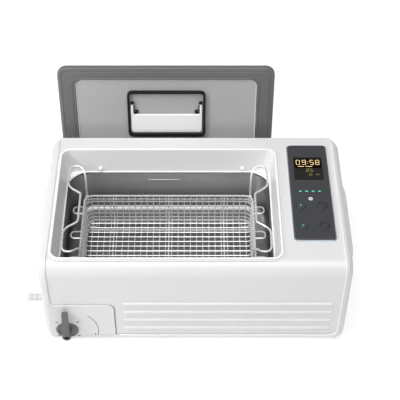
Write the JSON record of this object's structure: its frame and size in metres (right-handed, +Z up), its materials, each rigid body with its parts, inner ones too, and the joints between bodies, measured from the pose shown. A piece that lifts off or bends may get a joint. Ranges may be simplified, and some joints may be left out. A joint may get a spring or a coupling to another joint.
{
  "type": "ultrasonic cleaner",
  "caption": "Bench-top ultrasonic cleaner: white moulded housing, steel tank, wire basket, lift-off lid in a rear holder, lever drain valve and push-button panel.",
  "frame": {"origin": "on the worktop under the middle of the whole box, lid and hose outlet included", "axes": "+X to the operator's right, +Y to the rear, +Z up"},
  "size_m": [0.4944, 0.3326, 0.2854],
  "materials": {
    "white_abs": "satin white moulded ABS",
    "charcoal_plastic": "fine-textured charcoal plastic",
    "black_plastic": "black plastic",
    "stainless_steel": "bright stainless steel",
    "steel_wire": "polished stainless wire",
    "aluminium": "satin aluminium",
    "rubber": "black moulded rubber",
    "lid_grey": "fine-textured dark grey plastic",
    "panel_grey": "light grey plastic",
    "board_green": "solder-masked circuit board",
    "brass": "machined brass",
    "silicone": "silicone heater mat",
    "indicator": "clear green light pipe",
    "white_handle": "smooth white plastic"
  },
  "bodies": {
    "housing": {"left_end_frame": "white_abs", "right_end_frame": "white_abs", "top_cover": "white_abs", "drain_panel": "white_abs", "base_pan": "white_abs", "rear_panel": "white_abs", "tank_surround": "white_abs", "lid_bracket_left": "white_abs", "lid_bracket_right": "white_abs", "outlet_barb": "white_abs", "control_panel": "charcoal_plastic", "drain_escutcheon": "charcoal_plastic", "display_module": "charcoal_plastic", "capacitor": "charcoal_plastic", "display_window": "black_plastic", "power_inlet": "black_plastic", "power_switch_housing": "black_plastic", "fuse_cap": "black_plastic", "fan_frame": "black_plastic", "tank": "stainless_steel", "panel_bezel": "aluminium", "transducer_1": "aluminium", "transducer_2": "aluminium", "transducer_3": "aluminium", "heat_sink": "aluminium", "foot_front_left": "rubber", "foot_rear_left": "rubber", "foot_front_right": "rubber", "foot_rear_right": "rubber", "tank_gasket": "rubber", "generator_board": "board_green", "control_board": "board_green", "valve_body": "brass", "drain_elbow": "brass", "temperature_sensor": "brass", "transformer": "brass", "heater_pad_front": "silicone", "heater_pad_rear": "silicone", "indicator_light_pipe": "indicator"},
    "lid": {"lid_frame": "lid_grey", "lid_panel": "panel_grey", "handle_bezel": "black_plastic", "handle_pin_left": "stainless_steel", "handle_pin_right": "stainless_steel"},
    "bail": {"lid_handle": "white_handle"},
    "basket": {"basket": "steel_wire", "basket_handle_left": "steel_wire", "basket_handle_right": "steel_wire"},
    "drain_control": {"drain_lever": "charcoal_plastic", "lever_screw": "stainless_steel", "valve_ball_and_stem": "brass"},
    "minus_button": {"button_minus": "charcoal_plastic"},
    "timer_button": {"button_timer": "charcoal_plastic"},
    "heat_button": {"button_heat": "charcoal_plastic"},
    "start_button": {"button_start": "charcoal_plastic"},
    "rocker": {"power_rocker": "black_plastic"},
    "fan": {"fan_rotor": "charcoal_plastic"}
  },
  "joints": [
    {"name": "lid_lift", "type": "slide", "parent": "housing", "child": "lid", "axis": [0, 0.1392, 0.9903], "range_m": [0, 0.15]},
    {"name": "bail_swing", "type": "hinge", "parent": "lid", "child": "bail", "pos_m": [-0.0333, 0.14822, 0.22014], "axis": [-1, 0, 0], "range_deg": [0, 95]},
    {"name": "basket_lift", "type": "slide", "parent": "housing", "child": "basket", "axis": [0, 0, 1], "range_m": [0, 0.13]},
    {"name": "drain_turn", "type": "hinge", "parent": "housing", "child": "drain_control", "pos_m": [-0.1809, -0.14972, 0.032], "axis": [0, 1, 0], "range_deg": [0, 90]},
    {"name": "minus_press", "type": "slide", "parent": "housing", "child": "minus_button", "axis": [0, 0, -1], "range_m": [0, 0.0008], "stiffness_N_per_m": 500, "springref_m": -0.0004},
    {"name": "timer_press", "type": "slide", "parent": "housing", "child": "timer_button", "axis": [0, 0, -1], "range_m": [0, 0.0008], "stiffness_N_per_m": 500, "springref_m": -0.0004},
    {"name": "heat_press", "type": "slide", "parent": "housing", "child": "heat_button", "axis": [0, 0, -1], "range_m": [0, 0.0008], "stiffness_N_per_m": 500, "springref_m": -0.0004},
    {"name": "start_press", "type": "slide", "parent": "housing", "child": "start_button", "axis": [0, 0, -1], "range_m": [0, 0.0008], "stiffness_N_per_m": 500, "springref_m": -0.0004},
    {"name": "rocker_tilt", "type": "hinge", "parent": "housing", "child": "rocker", "pos_m": [0.1237, 0.12368, 0.046], "axis": [1, 0, 0], "range_deg": [0, 14]},
    {"name": "fan_spin", "type": "hinge", "parent": "housing", "child": "fan", "pos_m": [0.1767, 0.11668, 0.116], "axis": [0, 1, 0], "continuous": true}
  ]
}
